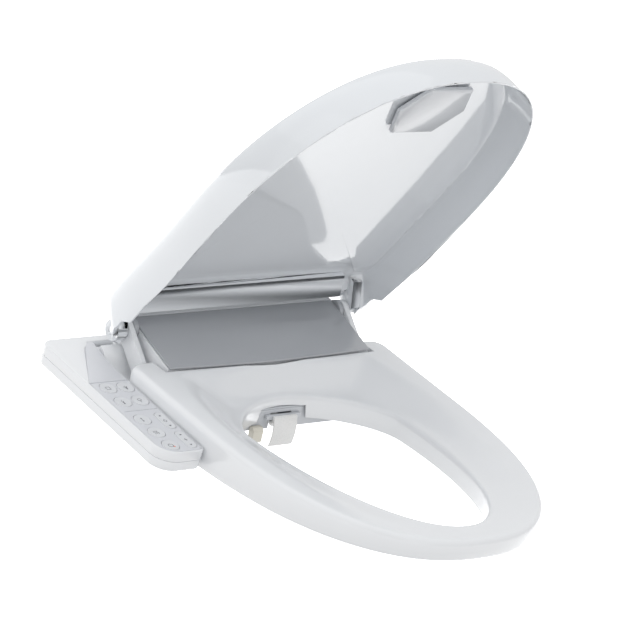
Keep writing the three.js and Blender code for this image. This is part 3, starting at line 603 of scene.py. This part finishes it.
# ---- seat ring ----
def seat_section(outer, inner):
    dx, dy = outer[0] - inner[0], outer[1] - inner[1]
    width = math.hypot(dx, dy)
    top = SEAT_TOP_AT_ORIGIN + SEAT_TOP_SLOPE * outer[1]
    rim = HOLE_EDGE_Z + HOLE_EDGE_SLOPE * (inner[1] + 62)
    low, edge = SEAT_BOTTOM_Z, SEAT_EDGE_RADIUS
    crest = min(width - edge - 8, width * (0.7 - 0.18 * smooth((inner[1] + 140) / 45)))

    def dish(s):
        return (s, rim + (top - rim) * smooth((s - 3) / (crest - 3)))

    def shoulder(s):
        u = 1 - s / edge
        return (width - s, top - edge * (1 - math.sqrt(max(0, 1 - u * u))))

    face = [(0, rim - 7), (0.9, rim - 2.6), (3.4, rim - 0.5)]
    face += [dish(7 + (crest - 7) * k / 8) for k in range(9)]
    face += [(width - edge - 2, top)] + [shoulder(s) for s in (5.6, 3.6, 2.1, 1.0, 0.3)]
    face += [(width, top - edge)]
    profile = [(1.9, low), (1.6, low + 0.7), (0.8, (low + rim - 7) / 2)] + spline(face, 3)
    profile += [(width - 1, min(top - edge - 1, low + 5)), (width - 3, low + 0.7), (width - 3.6, low)]
    profile += [(width - 7.4, low), (width - 7.4, low + 4), (7.6, low + 4), (7.6, low)]
    return [(inner[0] + dx * s / width, inner[1] + dy * s / width, z) for s, z in profile]


def bowed_front(half, y, bow, rear):
    front = [(-half + 2 * half * i / 28, y - bow * (1 - (2 * i / 28 - 1) ** 2)) for i in range(29)]
    return [(half, rear), (-half, rear)] + front


def build_seat():
    rings = []
    for a in stations(2, 0.7, [(34, 48)]):
        outer = edge_point(inside_seat, HOLE_CENTRE_Y, a)
        inner = edge_point(inside_hole, HOLE_CENTRE_Y, a)
        rings.append(seat_section(outer, inner))
    seat = new_object("seat_moulding", loft(rings, wrap=True))
    notch = new_object("notch", upright(bowed_front(NOTCH_HALF_WIDTH, NOTCH_Y, NOTCH_BOW, 0), -5, 120))
    under = rounded_outline(-154, 154, BRIDGE_FRONT_Y, 0, (0, 0, 8, 8), 6)
    step = new_object("step", upright(under, -5, BRIDGE_BOTTOM_Z))
    carve(seat, [notch, step])
    dress(seat, MATERIALS["shell"], "seat", sharp=40)
    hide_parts("seat_top_shell")


# ---- control arm ----
def arm_outline(inset):
    radii = (0, 14 - inset, 25 - inset, 6 - inset / 2)
    main = rounded_outline(
        ARM_OUTER_X + inset, ARM_INNER_X - inset, ARM_FRONT + inset, ARM_REAR - inset, radii, 14,
    )
    wing = WING_X - inset
    return [(ARM_INNER_X - inset, 40 + inset), (wing, 40 + inset), (wing, main[0][1])] + main[1:]


def fascia_outline(inset):
    return rounded_outline(
        ARM_OUTER_X + 2.2 + inset, ARM_INNER_X - 2 - inset, ARM_FRONT + 2.2 + inset,
        CHEEK_FRONT - 0.5 - inset, (0, 0, 22.8 - inset, 4.5 - inset / 2), 14,
    )


def cheek_outline(inset):
    right, front = ARM_INNER_X - 2 - inset, CHEEK_FRONT + inset
    return [(ARM_OUTER_X + 2.2 + inset, front), (right, front), (right, CHEEK_REAR - inset),
            (-200 + inset, CHEEK_REAR - inset), (-205 + inset, CHEEK_REAR - 6)]


def stacked(outline, levels):
    return loft([[(x, y, w) for x, y in outline(inset)] for inset, w in levels])


def button_outline(name, inset):
    if name in ROUND_BUTTONS:
        x, y = ROUND_BUTTONS[name]
        a = b = ROUND_RADIUS - inset
    else:
        x, y = PILL_BUTTONS[name]
        a, b = PILL_WIDTH / 2 - inset, PILL_LENGTH / 2 - inset
    return rounded_outline(x - a, x + a, y - b, y + b, (a, a, a, a), 14)


def button_holes():
    names = list(ROUND_BUTTONS) + list(PILL_BUTTONS)
    shapes = [upright(button_outline(name, -BUTTON_HOLE_GAP), -30, 10) for name in names]
    return [new_object("hole", moved(shape, tilt_arm)) for shape in shapes]


def build_arm():
    lower = [(3.2, -ARM_THICK), (1.6, -25.0), (0.5, -23.9), (0, -22.3), (0, -13.4), (0.12, -13), (0.5, -12.8)]
    tray = new_object("arm_tray_moulding", moved(stacked(arm_outline, lower), tilt_arm))
    dress(tray, MATERIALS["shell"], "housing")
    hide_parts("arm_tray")
    upper = [(0.5, -12.5), (0.12, -12.3), (0, -11.9), (0, -1.7), (0.13, -1.05), (0.5, -0.5),
             (1.05, -0.13), (1.7, 0)]
    cover = new_object("arm_cover_moulding", moved(stacked(arm_outline, upper), tilt_arm))
    recess = new_object("recess", moved(upright(fascia_outline(-0.3), -RECESS_DEPTH, 5), tilt_arm))
    seat = new_object("cheek_seat", moved(upright(cheek_outline(-0.3), -RECESS_DEPTH, 5), tilt_arm))
    carve(cover, [recess, seat] + button_holes())
    dress(cover, MATERIALS["shell"], "housing")
    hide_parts("arm_cover")
    sheet = [(0.5, -1.4), (0.5, -0.3), (0.62, -0.12), (0.9, -0.05)]
    fascia = new_object("fascia_sheet", moved(stacked(fascia_outline, sheet), tilt_arm))
    carve(fascia, button_holes())
    dress(fascia, MATERIALS["fascia"], "housing")
    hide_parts("control_fascia")


BUTTON_LEVELS = [(0, -6.4), (0, -0.45), (0.1, 0.02), (0.35, 0.33), (0.8, 0.5), (1.4, 0.42), (2.1, 0.2),
                 (2.9, 0.02), (3.8, -0.08)]


def build_buttons():
    for name in list(ROUND_BUTTONS) + list(PILL_BUTTONS):
        rings = [[(x, y, w) for x, y in button_outline(name, inset)] for inset, w in BUTTON_LEVELS]
        cap = new_object(name + "_cap", moved(loft(rings), tilt_arm))
        dress(cap, MATERIALS["cap"], home(name))
        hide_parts(name)


# ---- printed marks: generic signs, drawn as thin strokes ----
INK_LOW, INK_HIGH = -0.12, -0.02 # a sign's faces, measured from the panel's face


def stroke(path, width, closed=False):
    """A flat strip along a path of (x, y), as one thin solid."""
    count = len(path)
    left, right = [], []
    for i in range(count):
        a = path[i - 1] if i or closed else path[i]
        b = path[(i + 1) % count] if i < count - 1 or closed else path[i]
        dx, dy = b[0] - a[0], b[1] - a[1]
        length = math.hypot(dx, dy)
        nx, ny = -dy / length * width / 2, dx / length * width / 2
        left.append((path[i][0] + nx, path[i][1] + ny))
        right.append((path[i][0] - nx, path[i][1] - ny))
    points = [(x, y, w) for w in (INK_LOW, INK_HIGH) for x, y in left + right]
    faces, top = [], 2 * count
    for i in range(count if closed else count - 1):
        j = (i + 1) % count
        faces.append((i, j, count + j, count + i))
        faces.append((top + i, top + count + i, top + count + j, top + j))
        faces.append((i, top + i, top + j, j))
        faces.append((count + i, count + j, top + count + j, top + count + i))
    if not closed:
        for i in (0, count - 1):
            faces.append((i, count + i, top + count + i, top + i))
    return points, faces


def merged(shapes):
    points, faces = [], []
    for shape_points, shape_faces in shapes:
        base = len(points)
        points += shape_points
        faces += [tuple(base + i for i in face) for face in shape_faces]
    return points, faces


def circle(x, y, radius, start=0, end=360, steps=20):
    span = end - start
    count = steps if span >= 360 else steps + 1
    return [(x + radius * math.cos(math.radians(start + span * i / steps)),
             y + radius * math.sin(math.radians(start + span * i / steps))) for i in range(count)]


def dot(x, y, radius):
    return upright(circle(x, y, radius), INK_LOW, INK_HIGH)


def triangle(x, y, size, way):
    return upright([(x - size, y), (x + size, y), (x, y + way * size * 1.5)], INK_LOW, INK_HIGH)


def jet(lean):
    return [(lean * t, -3.2 + 6.2 * t - 2.2 * abs(lean) * 0.3 * t * t) for t in (0, 0.25, 0.5, 0.75, 1)]


def wave(x):
    return [(x + 0.7 * math.sin(k * math.pi / 4), -3 + 0.75 * k) for k in range(9)]


SIGNS = {
    "button_stop": [stroke([(-2.6, -2.6), (2.6, -2.6), (2.6, 2.6), (-2.6, 2.6)], 0.7, True)],
    "button_rear": [stroke(jet(k), 0.6) for k in (-2.4, 0, 2.4)] + [dot(0, -3.6, 0.9)],
    "button_soft": [stroke(jet(k), 0.6) for k in (-1.4, 1.4)] + [dot(0, -3.6, 0.9), dot(0, 3.4, 0.5)],
    "button_front": [stroke(circle(0, 1.4, 2.2), 0.6, True), stroke([(0, -3.8), (0, -0.9)], 0.6)],
    "button_oscillate": [stroke([(0, -2.4), (0, 2.4)], 0.6), triangle(0, 2.2, 1.2, 1),
                         triangle(0, -2.2, 1.2, -1)],
    "button_dryer": [stroke(wave(x), 0.55) for x in (-2.3, 0, 2.3)],
    "button_power": [stroke(circle(0, -0.6, 3, 120, 420), 0.6), stroke([(0, 0.4), (0, 3.4)], 0.6)],
    "button_pressure": [triangle(0, 9.4, 1.7, 1), triangle(0, -9.4, 1.7, -1),
                        stroke(circle(0, -0.5, 1.9), 0.55, True), stroke([(0, 1.4), (0, 3)], 0.55)],
    "button_position": [triangle(0, 9.4, 1.7, 1), triangle(0, -9.4, 1.7, -1),
                        stroke([(-2.2, 0), (2.2, 0)], 0.6), stroke([(0, -2.6), (0, 2.6)], 0.6)],
}


def build_signs():
    for name, shapes in SIGNS.items():
        x, y = {**ROUND_BUTTONS, **PILL_BUTTONS}[name]
        shift = moved(merged(shapes), lambda u, v, w: tilt_arm(x + u, y + v, w))
        sign = new_object(name + "_sign", shift)
        dress(sign, MATERIALS["ink"], home(name))
    x, y = ROUND_BUTTONS["button_power"]
    lamp = new_object("power_lamp", moved(dot(x + 3.4, y - 3.2, 1.1), tilt_arm))
    dress(lamp, MATERIALS["lamp"], home("button_power"))
    line = stroke([(-241, -106.5), (-195.5, -106.5)], 0.45)
    rule = new_object("fascia_rule", moved(line, lambda u, v, w: tilt_arm(u, v, w + 0.05)))
    dress(rule, MATERIALS["groove"], "housing")


# ---- the rest of the frame's nodes ----
REFINED = {
    "housing_cover": ("shell", "shell", 1.2),
    # the top plate's dark grey finish is painted shade from the open lid above it
    "top_plate": ("plate", "shell", 0.9),
    "rear_deck_panel": ("underside", "underside", 0.6),
    "base_tray": ("underside", "underside", 0.8),
    "front_cover": ("underside", "underside", 0.4),
    "arm_cheek": ("fascia", "fascia", 0.9),
    "mounting_plate": ("metal", "metal", 0.6),
    "hinge_damper_left": ("hinge", "cap", 0.7),
    "hinge_damper_right": ("hinge", "cap", 0.7),
    "seat_lug_left": ("shell", "shell", 0.9),
    "seat_lug_right": ("shell", "shell", 0.9),
    "lid_washer_left": ("cap", "cap", 0.3),
    "lid_washer_right": ("cap", "cap", 0.3),
    "lid_pad": ("pad", "cap", 1.2),
    "seat_bumper_front_left": ("rubber", "rubber", 0.8),
    "seat_bumper_front_right": ("rubber", "rubber", 0.8),
    "seat_bumper_rear_left": ("rubber", "rubber", 0.8),
    "seat_bumper_rear_right": ("rubber", "rubber", 0.8),
    "nozzle_gate": ("nozzle", "nozzle", 0.8),
    "nozzle_head": ("nozzle", "nozzle", 0.4),
    "gate_bracket": ("underside", "underside", 0.6),
    "nozzle_rinse_block": ("block", "block", 0.9),
    "release_button": ("cap", "cap", 0.7),
    "water_inlet": ("metal", "metal", 0.5),
    "cable_gland": ("rubber", "rubber", 0.6),
}
CARRIED = {
    "nozzle_wand": "nozzle",
    "nozzle_cradle": "underside",
    "nozzle_motor": "motor",
    "control_board": "board",
    "main_board": "board",
    "heater_tank": "tank",
    "solenoid_valve": "motor",
    "deodoriser_fan": "motor",
    "hinge_pin_left": "metal",
    "hinge_pin_right": "metal",
    "seat_bottom_shell": "underside",
    "seat_heater_left": "foil",
    "seat_heater_right": "foil",
}


def build_rest():
    for node, (finish, slot, width) in REFINED.items():
        refine(node, MATERIALS[finish], width)
    for node, finish in CARRIED.items():
        obj = frame["nodes"][node]
        for holder in obj.material_slots:
            holder.material = MATERIALS[finish]


# ---- stage, light and camera ----
CAMERA_PLACE = Vector((-2.6155, -2.8275, 1.5171))
CAMERA_AZIMUTH = -43.903
CAMERA_ELEVATION = 19.884
CAMERA_ROLL = 13.005
CAMERA_LENS = 204.45
SENSOR_WIDTH = 36
LIGHT_AIM = Vector((0, -0.2, 0.1))
GROUND_Z = -14.6 # where the seat's bumpers would meet a table, in millimetres
GROUND_REACH = 30000
HORIZON = 0.12 # half the band in which the sky grows brighter
SKY_LOW, SKY_HIGH = 0.56, 0.86


def build_camera():
    az, el, roll = (math.radians(a) for a in (CAMERA_AZIMUTH, CAMERA_ELEVATION, CAMERA_ROLL))
    back = Vector((math.sin(az) * math.cos(el), -math.cos(az) * math.cos(el), math.sin(el)))
    right = Vector((math.cos(az), math.sin(az), 0))
    up = back.cross(right)
    x_axis = right * math.cos(roll) + up * math.sin(roll)
    y_axis = up * math.cos(roll) - right * math.sin(roll)
    data = bpy.data.cameras.new("camera")
    data.lens = CAMERA_LENS
    data.sensor_width = SENSOR_WIDTH
    data.clip_end = 60
    camera = bpy.data.objects.new("camera", data)
    turn = Matrix((x_axis, y_axis, back)).transposed().to_4x4()
    camera.matrix_world = Matrix.Translation(CAMERA_PLACE) @ turn
    bpy.context.scene.collection.objects.link(camera)
    bpy.context.scene.camera = camera


def softbox(name, place, size, power):
    data = bpy.data.lights.new(name, "AREA")
    data.shape = "RECTANGLE"
    data.size, data.size_y = size
    data.energy = power
    lamp = bpy.data.objects.new(name, data)
    lamp.location = place
    lamp.rotation_euler = (LIGHT_AIM - Vector(place)).to_track_quat("-Z", "Y").to_euler()
    bpy.context.scene.collection.objects.link(lamp)


def build_stage():
    r = GROUND_REACH
    corners = [(-r, -r), (r, -r), (r, r), (-r, r)]
    floor = new_object("floor", upright(corners, -60, GROUND_Z))
    mat, nodes, links, shader, place = new_material("pale_floor")
    tone = two_tone(nodes, links, noise(nodes, links, place, 400, 2), (0.95, 0.95, 0.95), (0.93, 0.93, 0.93))
    links.new(tone, shader.inputs["Base Color"])
    shader.inputs["Roughness"].default_value = 0.7
    shader.inputs["Specular IOR Level"].default_value = 0.1
    shader.inputs["Emission Color"].default_value = (1, 1, 1, 1)
    shader.inputs["Emission Strength"].default_value = 1.3
    floor.data.materials.append(mat)
    floor.visible_diffuse = False


def build_world():
    world = bpy.data.worlds.new("studio")
    world.use_nodes = True
    bpy.context.scene.world = world
    nodes, links = world.node_tree.nodes, world.node_tree.links
    place = nodes.new("ShaderNodeTexCoord")
    split = nodes.new("ShaderNodeSeparateXYZ")
    links.new(place.outputs["Generated"], split.inputs["Vector"])
    ramp = nodes.new("ShaderNodeMapRange")
    ramp.inputs["From Min"].default_value = -HORIZON
    ramp.inputs["From Max"].default_value = HORIZON
    ramp.inputs["To Min"].default_value = SKY_LOW
    ramp.inputs["To Max"].default_value = SKY_HIGH
    links.new(split.outputs["Z"], ramp.inputs["Value"])
    links.new(ramp.outputs["Result"], nodes["Background"].inputs["Strength"])
    nodes["Background"].inputs["Color"].default_value = (1, 1, 1, 1)


def build_lights():
    softbox("key", (-0.9, 0.9, 2.3), (3.4, 3.4), 12)
    softbox("left", (-2.6, -0.4, 1.0), (3.2, 3.2), 8)
    softbox("front", (-0.6, -3.2, 0.9), (1.4, 1.4), 4)


build_camera()
build_world()
build_lights()
build_stage()
build_lid()
build_seat()
build_arm()
build_buttons()
build_signs()
build_rest()

bpy.context.scene.view_settings.view_transform = "Standard"
